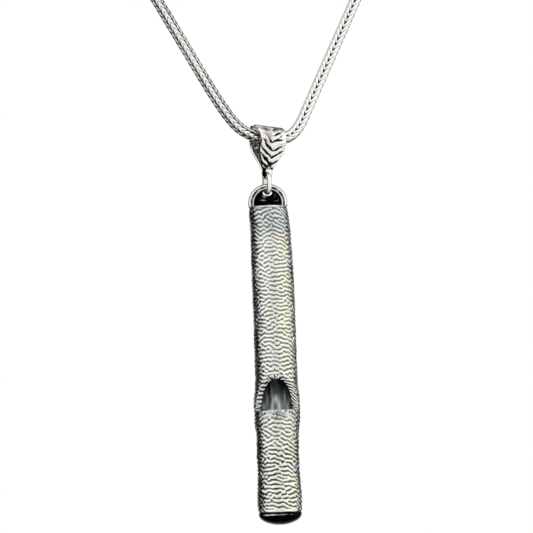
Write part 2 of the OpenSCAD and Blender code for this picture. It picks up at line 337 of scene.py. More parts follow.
class Nodes:
    """Short calls for building the nodes of a material or of the world."""

    def __init__(self, owner, shader):
        owner.use_nodes = True
        self.owner = owner
        self.tree = owner.node_tree
        self.shader = self.tree.nodes[shader]

    def add(self, kind, **values):
        node = self.tree.nodes.new(kind)
        for key, value in values.items():
            setattr(node, key, value)
        return node

    def put(self, value, socket):
        """Links an output to a socket, or sets a number or a colour on it."""
        if isinstance(value, bpy.types.NodeSocket):
            self.tree.links.new(value, socket)
        elif isinstance(value, tuple):
            socket.default_value = (*value, 1)
        else:
            socket.default_value = value

    def fill(self, node, **inputs):
        for name, value in inputs.items():
            self.put(value, node.inputs[name])

    def shade(self, value, name):
        self.put(value, self.shader.inputs[name])

    def noise(self, scale, detail, rough=0.55):
        coords = self.add("ShaderNodeTexCoord")
        node = self.add("ShaderNodeTexNoise")
        self.fill(node, Scale=scale, Detail=detail, Roughness=rough,
                  Vector=coords.outputs["Object"])
        return node.outputs["Fac"]

    def ramp(self, source, stops):
        node = self.add("ShaderNodeValToRGB")
        while len(node.color_ramp.elements) < len(stops):
            node.color_ramp.elements.new(0.5)
        for element, (at, colour) in zip(node.color_ramp.elements, stops):
            element.position = at
            element.color = (*colour, 1)
        self.fill(node, Fac=source)
        return node.outputs["Color"]

    def math(self, operation, a, b):
        node = self.add("ShaderNodeMath", operation=operation)
        self.put(a, node.inputs[0])
        self.put(b, node.inputs[1])
        return node.outputs["Value"]

    def attribute(self, name):
        return self.add("ShaderNodeAttribute", attribute_name=name).outputs["Fac"]

    def mixed(self, blend, amount, a, b):
        node = self.add("ShaderNodeMix", data_type="RGBA", blend_type=blend)
        self.fill(node, Factor=amount, A=a, B=b)
        return node.outputs["Result"]

    def bump(self, height, strength, distance):
        node = self.add("ShaderNodeBump")
        self.fill(node, Strength=strength, Distance=distance, Height=height)
        self.shade(node.outputs["Normal"], "Normal")


def new_material(name):
    return Nodes(bpy.data.materials.new(name), "Principled BSDF")


def grey(value):
    return (value, value, value)


def dimmed(colour, share):
    return tuple(share * c for c in colour)


# noise scales, in the material's metres
WEAR_SCALE = 170
MOTTLE_SCALE = 900
CLOUD_SCALE = 220
MARKS_SCALE = 1400
# how much the wear and the mottle shift the tarnish
WEAR_SHIFT = 0.35
MOTTLE_SHIFT = 0.2
# how much tarnish makes silver bright, half dark, dark and as a deep hollow
TARNISH_AT = (0.1, 0.42, 0.72, 1.0)
HALF_DARK = 0.4
# how much of the dark colour is left in the deepest hollows
HOLLOW = 0.12
AGED_BUMP = 0.00006
CLOUD_DIM = 0.86
MARKS_ROUGH = 0.14
MARKS_BUMP = 0.00003


def aged_silver(name, bright, dark, rough_bright, rough_dark, grain, blue_reflection=None, warm_light=None):
    """Silver that is polished where it is rubbed and black in its hollows. Its
    darkness also carries painted shade and painted highlights, and its blue and
    warm tints are painted light.
    """
    n = new_material(name)
    mottle = n.noise(MOTTLE_SCALE, 4)
    wear = n.noise(WEAR_SCALE, 3)
    wear_and_painted_light = n.attribute("patina_and_painted_light")
    for noise, shift in ((wear, WEAR_SHIFT), (mottle, MOTTLE_SHIFT)):
        wear_and_painted_light = n.math("ADD", wear_and_painted_light, n.math("MULTIPLY", n.math("SUBTRACT", noise, 0.5), shift))
    half_dark = tuple(between(pair, HALF_DARK) for pair in zip(bright, dark))
    colour = n.ramp(wear_and_painted_light, list(zip(TARNISH_AT, (bright, half_dark, dark, dimmed(dark, HOLLOW)))))
    # the painted blue reflection and the painted warm light tint the colour
    if blue_reflection:
        colour = n.mixed("MULTIPLY", n.attribute("blue_reflection"), colour, blue_reflection)
    if warm_light:
        colour = n.mixed("MULTIPLY", n.attribute("warm_light"), colour, warm_light)
    n.shade(colour, "Base Color")
    n.shade(n.ramp(wear_and_painted_light, [(0.0, grey(rough_bright)), (1.0, grey(rough_dark))]), "Roughness")
    n.shade(1.0, "Metallic")
    n.bump(n.math("ADD", mottle, wear), grain, AGED_BUMP)
    return n.owner


def polished_silver(name, colour, rough, grain):
    """Plain polished silver with fine handling marks."""
    n = new_material(name)
    marks = n.noise(MARKS_SCALE, 5, 0.7)
    cloud = n.noise(CLOUD_SCALE, 2)
    n.shade(n.ramp(cloud, [(0.3, dimmed(colour, CLOUD_DIM)), (0.7, colour)]), "Base Color")
    n.shade(n.ramp(marks, [(0.3, grey(rough)), (0.75, grey(rough + MARKS_ROUGH))]), "Roughness")
    n.shade(1.0, "Metallic")
    n.bump(marks, grain, MARKS_BUMP)
    return n.owner


def matte(name, colour, rough):
    n = new_material(name)
    n.shade(colour, "Base Color")
    n.shade(rough, "Roughness")
    n.shade(0.1, "Specular IOR Level")
    return n.owner


TUBE_SILVER = aged_silver("tube_silver", (0.90, 0.905, 0.835), (0.26, 0.265, 0.255), 0.2, 0.34, 0.25,
                          blue_reflection=(0.84, 0.89, 0.945), warm_light=(1.0, 0.985, 0.84))
CHAIN_SILVER = aged_silver("chain_silver", (0.92, 0.91, 0.89), (0.01, 0.01, 0.01), 0.16, 0.5, 0.1)
BAIL_SILVER = aged_silver("bail_silver", (0.92, 0.90, 0.84), (0.012, 0.012, 0.011), 0.17, 0.45, 0.2)
LUG_SILVER = aged_silver("lug_silver", (0.88, 0.88, 0.87), (0.006, 0.006, 0.007), 0.17, 0.22, 0.2)
LINK_SILVER = aged_silver("link_silver", (0.9, 0.9, 0.88), (0.006, 0.006, 0.006), 0.15, 0.3, 0.1)
# the plug is painted near black as a dark reflection
PLUG_PAINTED_DARK = aged_silver("plug_painted_dark", (0.8, 0.78, 0.7), (0.008, 0.008, 0.009), 0.25, 0.3, 0.3)
PLAIN_SILVER = polished_silver("plain_silver", (0.90, 0.90, 0.88), 0.12, 0.15)
SPRING_STEEL = polished_silver("spring_steel", (0.45, 0.45, 0.46), 0.28, 0.2)


# ---- camera ----

def make_camera():
    az, el = math.radians(CAMERA_AZ), math.radians(CAMERA_EL)
    right = Vector((math.cos(az), math.sin(az), 0))
    look = Vector((-math.sin(az) * math.cos(el), math.cos(az) * math.cos(el), -math.sin(el)))
    target = Vector((BAR[0], 0, TARGET_Z)) + right * TARGET_SIDE
    place = target - look * CAMERA_DIST
    data = bpy.data.cameras.new("camera")
    data.sensor_width = SENSOR_W
    data.lens = SENSOR_W * CAMERA_DIST / VIEW_W
    data.clip_start = 0.01
    data.clip_end = 20
    camera = add_object("camera", data)
    turn = look.to_track_quat("-Z", "Y").to_matrix().to_4x4()
    roll = Matrix.Rotation(-math.radians(CAMERA_ROLL), 4, "Z")
    camera.matrix_world = Matrix.Translation(place * MM) @ turn @ roll
    bpy.context.scene.camera = camera


# ---- chain ----

STEPS_PER_POINT = 16


class Route:
    """The chain's middle line as a smooth curve measured along its length."""

    def __init__(self, points):
        p = np.array([(x, 0.0, z) for x, z in points])
        p = np.vstack([2 * p[0] - p[1], p, 2 * p[-1] - p[-2]])
        t = np.linspace(0, 1, STEPS_PER_POINT, endpoint=False)[:, None]
        line = []
        for a, b, c, d in zip(p[:-3], p[1:-2], p[2:-1], p[3:]):
            line.append(0.5 * (2 * b + (c - a) * t + (2 * a - 5 * b + 4 * c - d) * t ** 2
                               + (3 * b - a - 3 * c + d) * t ** 3))
        self.line = np.vstack([*line, p[-2:-1]])
        self.at = distance_along(self.line)
        self.length = self.at[-1]
        self.along = unit(np.gradient(self.line, axis=0))

    def frame(self, s):
        """Points, directions and in-plane normals at distances s."""
        s = np.asarray(s, float)
        point = np.stack([np.interp(s, self.at, self.line[:, k]) for k in range(3)], -1)
        along = unit(np.stack([np.interp(s, self.at, self.along[:, k]) for k in range(3)], -1))
        point = point + along * (np.minimum(s, 0) + np.maximum(s - self.length, 0))[..., None]
        normal = np.stack([along[..., 2], np.zeros_like(s), -along[..., 0]], -1)
        return point, along, normal


LINK_PITCH = 1.32
LOOP_STEPS = 72
WIRE_SIDES = 12
CORE_STEPS = 160
CORE_R = 0.45
# the loops' radius in the valleys of the weave and on its ridges, the ridges'
# sharpness, and how far each point of a loop leads
WEAVE_R = (0.5, 0.91)
RIDGE_POWER = 0.3
WEAVE_V = 1.5
# half the wire's thickness, and half its width along the chain on the ridges
WIRE_OUT = 0.28
RIDGE_WIRE = 0.82
# the left strand turns into the right one from here to here, past the bight
BIGHT_SPAN = (-7, 5)
# Values on the left strand and on the right one, which is seen square on and
# is fuller: the turn of the weave, its size, half the wire's width in the
# valleys, where the painted shade borders along the sides are and how dark,
# and how dark the tarnish is beside the wires and in the slots between them.
WEAVE_TURN = (math.radians(28), math.radians(18))
WEAVE_SIZE = (1.04, 1.16)
VALLEY_WIRE = (0.27, 0.43)
SHADE_BORDER_TURN = (math.radians(-17), math.radians(25))
SHADE_BORDER_DARK = (0.9, 0.7)
SEAM_DARK = (0.85, 0.45)
SLOT_DARK = (1.05, 0.4)
# the ranges over which the painted shade borders and the painted highlight strip inside them rise
SHADE_BORDER_EDGE = (0.85, 0.92)
LIT_STRIP_EDGE = (0.66, 0.74)


def make_chain(route):
    """A foxtail weave: wire loops that zigzag round the chain, four points
    to each loop, one loop a pitch after another, over a core painted black as
    shade. The wires lie tight on the four ridges and leave a slot between them
    in each valley."""
    phi, psi = round_angles(LOOP_STEPS), round_angles(WIRE_SIDES)
    bight_s = route.at[np.argmin(np.abs(route.line[:, 0] - BIGHT[0]))]
    # 1 on the ridges of the square weave, 0 in the middle of its valleys
    ridge = 0.5 - 0.5 * np.cos(4 * phi)
    radius = between(WEAVE_R, ridge ** RIDGE_POWER)
    zig = 1 - 2 * np.abs(((4 * phi / (2 * math.pi)) % 1) - 0.5)
    # tarnish beside the wire's crown, and down in the slots
    seam_patina_and_shade = (1 - step(np.cos(psi), 0.5, 0.85))[None]
    slot = (1 - step(np.cos(psi), -0.2, 0.75))[None] + 0.45
    valley = (1 - step(ridge, 0.04, 0.24))[:, None]
    points, faces, patina_and_painted_light = [], [], []
    loops = int(route.length / LINK_PITCH)
    for i in range(loops):
        s = (i + 0.5) * LINK_PITCH
        right = step(s, bight_s + BIGHT_SPAN[0], bight_s + BIGHT_SPAN[1])
        # the points of the V lead towards the bight on both strands
        lead = 1.0 if s < bight_s else -1.0
        where = np.clip(s - lead * WEAVE_V * (zig - 0.5), 0.0, route.length)
        centre, along, normal = route.frame(where)
        turn = phi + between(WEAVE_TURN, right)
        out = np.cos(turn)[:, None] * np.array([0.0, 1.0, 0.0]) + np.sin(turn)[:, None] * normal
        size = between(WEAVE_SIZE, right)
        half = between((between(VALLEY_WIRE, right), RIDGE_WIRE), step(ridge, 0.03, 0.4))
        loop = centre + out * (size * radius)[:, None]
        rings = (loop[:, None] + out[:, None] * (size * WIRE_OUT * np.cos(psi))[None, :, None]
                 + along[:, None] * (half[:, None] * np.sin(psi)[None])[..., None])
        points.append(rings.reshape(-1, 3))
        faces += grid_faces(LOOP_STEPS, WIRE_SIDES, True, i * LOOP_STEPS * WIRE_SIDES)
        # painted shade along the two sides of the chain, and a painted highlight strip just inside
        # it
        off = np.abs(np.sin(turn - between(SHADE_BORDER_TURN, right)))
        shade_border = between(SHADE_BORDER_DARK, right) * step(off, *SHADE_BORDER_EDGE)
        lit_strip = 1 - 0.8 * step(off, *LIT_STRIP_EDGE)
        dark = (between(SEAM_DARK, right) * seam_patina_and_shade * (1 - valley) * lit_strip[:, None]
                + between(SLOT_DARK, right) * slot * valley)
        patina_and_painted_light.append(np.clip(np.maximum(dark, shade_border[:, None] * (0.6 + 0.4 * seam_patina_and_shade)), 0, 1).ravel())
    centre, along, normal = route.frame(np.linspace(0, route.length, CORE_STEPS))
    points.append(sweep(centre, normal, circle_section(CORE_R, WIRE_SIDES)).reshape(-1, 3))
    faces += rod_faces(CORE_STEPS, WIRE_SIDES, loops * LOOP_STEPS * WIRE_SIDES)
    # painted shade: the core is black all over
    patina_and_painted_light.append(np.ones(CORE_STEPS * WIRE_SIDES))
    return make_piece("woven_chain", "chain", np.vstack(points), faces, CHAIN_SILVER,
                      "chain", np.concatenate(patina_and_painted_light))


# ---- whistle ----

TUBE_COLS = 200
TUBE_ROWS = 410
# the wavy skin: the ridges' spacing, height, how level they are, how they
# arch over the front and lean to the right, and how uneven they are
RIDGE_SPACING = 0.86
RIDGE_H = 0.15
RIDGE_MEAN = 0.6
RIDGE_LEVEL = 0.72
RIDGE_ARCH = 0.9
RIDGE_LEAN = 0.9
RIDGE_UNEVEN = 0.35
DENT_H = 0.05
# the labyrinth's values from a groove's floor to a ridge's top
GROOVE_RANGE = (-0.95, 0.6)
# the tarnish in the grooves, how much more near the mouth, all over, and the painted shade in
# blotches down the left side
GROOVE_DARK = 0.8
MOUTH_DARK = 0.22
MOUTH_RANGE = (9, 20)
SKIN_DARK = 0.03
LEFT_SHADE_DARK = 0.5
# bands round the tube, as the ranges of height that they start and end in
LEDGE = ((WINDOW_Z - 2.3, WINDOW_Z - 1.7), (WINDOW_Z + 0.1, WINDOW_Z + 0.6))
BLUE_REFLECTION_WINDOW = ((WINDOW_Z - 2.6, WINDOW_Z - 1.4), (WINDOW_Z + 3, WINDOW_Z + 7))
BLUE_REFLECTION_TOP = (TUBE_LEN - 6.2, TUBE_LEN - 4.2)
SKIN_ENDS = ((-0.1, 0.5), (TUBE_LEN - 0.5, TUBE_LEN + 0.1))
BORE_UP = (WINDOW_Z + 1, WINDOW_Z + 5)
# how much calmer the skin is on the ledge
LEDGE_CALM = 0.6
# the painted shade in the bore, how much more above the window's edge, and its swirls of painted
# reflection and shade
BORE_SHADE = 0.56
BORE_SHADE_HIGH = 0.42
SWIRL_LIGHT_AND_SHADE = 0.32
# how far the profile's corners are smoothed, except this near the two ends
SMOOTH_OVER = 1.0
PROFILE_STEP = 0.05
CRISP_MOUTH = 1.0
CRISP_TOP = 1.2
# how far the tube bows to one side, at heights over its mouth
TUBE_BOW = [(0, 0), (12, 0), (30, 0.33), (48, 0.43), (60, 0.3), (65, 0)]


def bow(z):
    heights, sides = zip(*TUBE_BOW)
    return np.interp(z, heights, sides)


def tube_radius(z):
    """The plain surface's radius at a height."""
    heights, radii = zip(*TUBE_PROFILE)
    fine = np.linspace(0, TUBE_LEN, round(TUBE_LEN / PROFILE_STEP) + 1)
    rough = np.interp(fine, heights, radii)
    reach = round(SMOOTH_OVER / PROFILE_STEP)
    kernel = np.exp(-np.linspace(-2, 2, 2 * reach + 1) ** 2)
    soft = np.convolve(np.pad(rough, reach, mode="edge"), kernel / kernel.sum(), mode="valid")
    crisp = (fine < CRISP_MOUTH) | (fine > TUBE_LEN - CRISP_TOP)
    return np.interp(z, fine, np.where(crisp, rough, soft))


def window_out(rise):
    """The scooped cut's distance in front of the axis, at a height over its edge."""
    return WINDOW_DEPTH + WINDOW_SLOPE * rise + WINDOW_CURL * rise ** 3


def window_rise(out):
    """The height at which the scooped cut is a distance in front of the axis."""
    rise = np.linspace(0, WINDOW_REACH, 400)
    return np.interp(out, window_out(rise), rise)


def frontness(angle):
    """1 at the whistle's front, -1 at its back."""
    return np.cos(angle + math.pi / 2)


def rightness(angle):
    """1 at the whistle's right side, as the camera sees it, -1 at its left."""
    return np.sin(angle + math.pi / 2)


class TubeSkin:
    """The wavy skin, its tarnish, its painted shade and its painted blue
    reflection and warm light, by the angle round the tube and the height.
    """

    def __init__(self):
        size = (TUBE_ROWS, TUBE_COLS, TUBE_LEN, 2 * math.pi * TUBE_R)
        self.field = labyrinth(*size, RIDGE_SPACING, RIDGE_LEVEL, seed=7)
        self.dents = smooth_noise(*size, scale=3.0, seed=11)
        self.uneven = smooth_noise(*size, scale=1.2, seed=5)

    def sample(self, grid, angle, z):
        """A grid's value, between its four nearest points."""
        rows, cols = grid.shape
        i = (z / TUBE_LEN * rows) % rows
        j = (angle / (2 * math.pi) * cols) % cols
        i0, j0 = np.floor(i).astype(int), np.floor(j).astype(int)
        fi, fj = i - i0, j - j0
        i0, i1 = i0 % rows, (i0 + 1) % rows
        j0, j1 = j0 % cols, (j0 + 1) % cols
        low = between((grid[i0, j0], grid[i0, j1]), fj)
        high = between((grid[i1, j0], grid[i1, j1]), fj)
        return between((low, high), fi)

    def calm(self, angle, z):
        """1 on the wavy skin, less on the smooth ledge below the window."""
        return 1 - LEDGE_CALM * step(frontness(angle), 0.55, 0.8) * band(z, *LEDGE)

    def ridge(self, angle, z):
        az = angle + math.pi / 2
        drop = RIDGE_ARCH * (1 - np.cos(az)) + RIDGE_LEAN * (np.sin(az) - 0.3 * np.sin(2 * az))
        return self.sample(self.field, angle, z + drop)

    def height(self, angle, z):
        """How far the skin stands over the plain surface."""
        shape = step(self.ridge(angle, z), *GROOVE_RANGE) - RIDGE_MEAN
        uneven = 1 + RIDGE_UNEVEN * self.sample(self.uneven, angle, z)
        lift = RIDGE_H * shape * uneven * self.calm(angle, z) * band(z, *SKIN_ENDS)
        return lift + DENT_H * self.sample(self.dents, angle, z)

    def patina_and_painted_light(self, angle, z):
        """How dark it is: in the grooves, which are wider where the blue reflection is painted, in
        painted shade blotches down the whistle's left side, and in spots on the ledge."""
        calm = self.calm(angle, z)
        wide = 0.5 * self.blue_reflection(angle, z)
        floor, top = GROOVE_RANGE
        depth = GROOVE_DARK + MOUTH_DARK * (1 - step(z, *MOUTH_RANGE))
        grooves = depth * (1 - step(self.ridge(angle, z), floor + 0.4 * wide, top + wide))
        shade_blotch = step(self.sample(self.uneven, angle, z), 0.0, 0.45)
        left = step(-rightness(angle), 0.5, 0.8)
        spots = 0.55 + 0.9 * self.sample(self.uneven, 3 * angle, 3 * z)
        # painted shade: blotches darken the whistle's left side
        wavy = grooves + LEFT_SHADE_DARK * shade_blotch * left
        return np.clip(wavy * calm + SKIN_DARK + spots * (1 - calm), 0, 1)

    def blue_reflection(self, angle, z):
        """1 where a blue reflection is painted: the top, and round the window."""
        drift = self.sample(self.dents, angle, z)
        top = step(z + 0.9 * drift, *BLUE_REFLECTION_TOP)
        window = step(frontness(angle), 0.3, 0.6) * band(z, *BLUE_REFLECTION_WINDOW)
        return np.maximum(top, 0.8 * window)

    def warm_light(self, angle, z):
        """1 where warm light is painted: patches down the whistle's right side."""
        patch = np.clip(0.55 + self.sample(self.dents, angle, 1.5 * z), 0, 1)
        return patch * step(rightness(angle), -0.1, 0.7) * (1 - self.blue_reflection(angle, z))

    def bore_shade(self, angle, z):
        """The bore's painted shade: swirls of painted reflection and shade, and darker above the
        window's edge.
        """
        swirl = self.sample(self.dents, 3 * angle + 0.2 * z, 3 * z)
        return np.clip(BORE_SHADE + BORE_SHADE_HIGH * step(z, *BORE_UP) + SWIRL_LIGHT_AND_SHADE * swirl, 0, 1)

    def tarnish_and_painted_light(self, points):
        """Each point's patina with its painted shade, and its painted blue
        reflection and warm light, outside and in the bore.
        """
        side = points[:, 0] - bow(points[:, 2])
        radius = np.hypot(side, points[:, 1])
        angle = np.arctan2(points[:, 1], side)
        z = np.clip(points[:, 2], 0, TUBE_LEN)
        outside = radius > tube_radius(points[:, 2]) - 0.3
        rim = (points[:, 2] < 0.5) & (radius > BORE_R + 0.2)
        dark = np.where(outside, self.patina_and_painted_light(angle, z), self.bore_shade(angle, z))
        return (np.where(rim, 0.0, dark), np.where(outside, self.blue_reflection(angle, z), 1.0),
                np.where(outside, self.warm_light(angle, z), 0.0))


# the cutter's half width and its distance in front of the axis, clear of the tube
CUTTER_HALF = 9.0
CUTTER_OUT = 18.0


def window_cutter():
    """The space in front of the scooped cut, as a prism across the tube."""
    side = [(-window_out(h), WINDOW_Z + h) for h in np.linspace(0, WINDOW_REACH, 28)]
    side += [(-CUTTER_OUT, WINDOW_Z + WINDOW_REACH), (-CUTTER_OUT, WINDOW_Z)]
    n = len(side)
    points = [(x, y, z) for x in (-CUTTER_HALF, CUTTER_HALF) for y, z in side]
    faces = [tuple(range(n)), tuple(range(2 * n - 1, n - 1, -1))]
    faces += [(k, n + k, n + (k + 1) % n, (k + 1) % n) for k in range(n)]
    return add_object("cutter", closed_mesh("cutter", from_whistle(points), faces))


def cut_mesh(points, faces, cutter):
    """Points and faces of a closed mesh with the cutter's space taken out."""
    uncut = add_object("uncut", closed_mesh("uncut", points, faces))
    cut = uncut.modifiers.new("cut", "BOOLEAN")
    cut.operation, cut.solver, cut.object = "DIFFERENCE", "EXACT", cutter
    result = uncut.evaluated_get(bpy.context.evaluated_depsgraph_get()).to_mesh()
    found = np.array([v.co for v in result.vertices]) / MM
    polygons = [tuple(p.vertices) for p in result.polygons]
    uncut.to_mesh_clear()
    bpy.data.objects.remove(uncut)
    return found, polygons


BORE_WAVE = 0.02
BORE_ROWS = 44
# how much painted blue reflection the window's lip carries
LIP_BLUE_REFLECTION = 0.3


def make_tube():
    """The wavy tube and its bore, open at the window, with the window's lip."""
    skin = TubeSkin()
    angle = round_angles(TUBE_COLS)
    rows = []
    for height in np.linspace(0, TUBE_LEN, TUBE_ROWS):
        z = np.full(TUBE_COLS, height)
        r = tube_radius(height) + skin.height(angle, z)
        rows.append(np.stack([r * np.cos(angle) + bow(height), r * np.sin(angle), z], -1))
    inner = [(4.0, TUBE_LEN), (3.75, TUBE_LEN - 0.02)]
    inner += [(BORE_R + BORE_WAVE * math.sin(2.1 * z), z)
              for z in np.linspace(TUBE_LEN - 0.1, 0.15, BORE_ROWS)]
    inner += [(BORE_R + 0.1, 0.04), (4.2, -0.03)]
    grid = np.vstack([np.array(rows), revolve(inner, TUBE_COLS)])
    cutter = window_cutter()
    points, faces = cut_mesh(from_whistle(grid.reshape(-1, 3)),
                             grid_faces(len(grid), TUBE_COLS, True), cutter)
    bpy.data.objects.remove(cutter)
    dark, blue_reflection, warm_light = skin.tarnish_and_painted_light(to_whistle(points))
    lip_points, lip_faces, lip_dark = window_lip()
    faces += [tuple(len(points) + k for k in f) for f in lip_faces]
    return make_piece("reticulated_tube", "whistle", np.vstack([points, from_whistle(lip_points)]),
                      faces, TUBE_SILVER, "whistle_tube",
                      np.concatenate([dark, lip_dark]),
                      np.concatenate([blue_reflection, np.full(len(lip_dark), LIP_BLUE_REFLECTION)]),
                      np.concatenate([warm_light, np.zeros(len(lip_dark))]))


LIP_STEPS = 260
LIP_COLS = 16
# the bars on the lip: their spacing, height, and how they slant left and right
LIP_STROKE = 0.85
LIP_BAR_H = 0.2
LIP_SLANT = (-0.9, 1.7)
LIP_WANDER = 0.35
# how deep the lip's back is sunk in the tube
LIP_BACK = 0.3


def window_lip():
    """The rounded, radially marked band on the scooped cut, a closed strip
    that sits on the cut and follows the arch."""
    edge = WINDOW_DEPTH + 0.02
    low = BORE_R + 0.03
    limit = math.acos(edge / SWELL_R)
    phi = np.linspace(-limit, limit, LIP_STEPS)
    s = np.linspace(0, 1, LIP_COLS)
    crown = np.sqrt(np.clip(1 - (2 * s - 1) ** 2, 0, 1))
    middle_r = (SWELL_R + BORE_R) / 2
    middle = np.column_stack([middle_r * np.sin(phi), -middle_r * np.cos(phi),
                              window_rise(middle_r * np.cos(phi))])
    reach = distance_along(middle)
    wander = smooth_noise(LIP_STEPS, 64, 14.0, 6.0, scale=1.1, seed=21)[:, 0]
    slant = np.where(phi < 0, *LIP_SLANT) * np.minimum(np.abs(phi) / 0.5, 1)
    rows, dark = [], []
    for i, p in enumerate(phi):
        inner_p = math.copysign(min(abs(p), math.acos(edge / low)), p)
        a = low * np.array([math.sin(inner_p), -math.cos(inner_p)])
        high = float(tube_radius(WINDOW_Z + window_rise(SWELL_R * math.cos(p)))) - 0.04
        b = high * np.array([math.sin(p), -math.cos(p)])
        b[1] = min(b[1], -edge)
        xy = a + (b - a) * s[:, None]
        rise = window_rise(-xy[:, 1])
        slope = WINDOW_SLOPE + 3 * WINDOW_CURL * rise ** 2
        normal = unit(np.column_stack([np.zeros_like(slope), -np.ones_like(slope), -slope]))
        cut = np.column_stack([xy[:, 0] + bow(WINDOW_Z + rise), xy[:, 1], WINDOW_Z + rise])
        turns = (reach[i] - slant[i] * (rise - rise[0])) / LIP_STROKE + LIP_WANDER * wander[i]
        bar = 0.5 + 0.5 * np.cos(2 * math.pi * turns)
        lift = (0.02 + LIP_BAR_H * bar) * crown
        rows.append(np.concatenate([cut + normal * lift[:, None], (cut - normal * LIP_BACK)[::-1]]))
        marks = 1.1 * (1 - step(bar, 0.2, 0.65)) + 0.7 * (1 - crown) ** 2
        dark.append(np.concatenate([np.clip(marks, 0, 1), np.ones(LIP_COLS)]))
    return (np.array(rows).reshape(-1, 3), rod_faces(LIP_STEPS, 2 * LIP_COLS),
            np.array(dark).ravel())


REVOLVE_STEPS = 96
# the heights in which the plug's painted highlight line starts and ends, and its middle's angle
HIGHLIGHT_LINE = ((-0.78, -0.64), (-0.54, -0.4))
HIGHLIGHT_TURN = 0.15


def make_plug():
    """Block with its windway flat, and the dome that closes the mouth. Both are
    painted near black as a dark reflection, with a painted highlight line round
    the dome's shoulder.
    """
    block_r = BORE_R - 0.015
    profile = [(0.0, WINDOW_Z - 0.01), (2.6, WINDOW_Z - 0.01), (BORE_R - 0.06, WINDOW_Z - 0.04),
               (block_r, WINDOW_Z - 0.2)]
    profile += [(block_r, z) for z in np.linspace(WINDOW_Z - 1, 0.5, 12)]
    # the shoulder that closes the tube's mouth, then the dome
    profile += [(BORE_R - 0.02, -0.01), (DOME_R - 0.15, -0.02), (DOME_R - 0.15, -0.09),
                (DOME_R - 0.04, -0.13), (DOME_R, -0.3)]
    profile += [(DOME_R * math.cos(t) ** DOME_FULL, -PLUG_GAP - DOME_H * math.sin(t) ** DOME_FULL)
                for t in np.linspace(0.04, 1, 30) * math.pi / 2]
    grid = revolve(profile, REVOLVE_STEPS)
    y, z = grid[..., 1], grid[..., 2]
    grid[..., 1] = np.where(z > 0.0, np.maximum(y, WINDWAY_H - BORE_R), y)
    around = np.arctan2(y, grid[..., 0]) + math.pi / 2 + HIGHLIGHT_TURN
    mottle = smooth_noise(len(grid), REVOLVE_STEPS, 30, 28, scale=1.5, seed=61)
    # the painted highlight line is brightest on its left
    wear_and_painted_light = band(z, *HIGHLIGHT_LINE) * step(np.cos(around), 0.5, 0.85)
    wear_and_painted_light *= 0.62 - 0.38 * np.sin(around) + 0.2 * mottle
    return make_piece("domed_plug", "whistle", from_whistle(grid.reshape(-1, 3)),
                      grid_faces(len(grid), REVOLVE_STEPS), PLUG_PAINTED_DARK, "fipple_plug",
                      np.clip(1 - wear_and_painted_light, 0, 1).ravel())


def make_top_cap():
    """The plate that closes the tube, its edge rounded and lightly beaten."""
    top, under = TUBE_LEN + CAP_PLATE, TUBE_LEN - CAP_SPIGOT
    profile = [(0.0, top), (1.2, top), (2.4, top), (3.4, top), (CAP_R - 0.2, top - 0.01),
               (CAP_R - 0.06, top - 0.08), (CAP_R, TUBE_LEN + 0.3), (CAP_R, TUBE_LEN + 0.15),
               (CAP_R - 0.06, TUBE_LEN + 0.03), (BORE_R, TUBE_LEN),
               (BORE_R - 0.01, TUBE_LEN - 0.1), (BORE_R - 0.01, under), (0.0, under)]
    grid = revolve(profile, REVOLVE_STEPS)
    waves = smooth_noise(len(profile), REVOLVE_STEPS, 8, 26, scale=0.7, seed=3)
    near_edge = step(np.hypot(grid[..., 0], grid[..., 1]), CAP_R - 0.5, CAP_R - 0.1)
    grid[..., :2] *= (1 + 0.012 * waves * near_edge)[..., None]
    grid[..., 2] += 0.03 * waves * (grid[..., 2] > TUBE_LEN + 0.2)
    dark = np.clip(0.25 + 0.45 * waves, 0, 0.8).ravel()
    # the whole plate carries the painted blue reflection
    return make_piece("top_plate", "whistle", from_whistle(grid.reshape(-1, 3)),
                      grid_faces(len(profile), REVOLVE_STEPS), TUBE_SILVER, "top_cap",
                      dark, np.ones(dark.size))


LUG_SIDES = 36
LUG_GROOVE = 0.1
LUG_WOBBLE = 0.012
# how dark the rim's grooves are, and how dark its inside is painted as shade
LUG_PATINA_AND_SHADE = 0.8


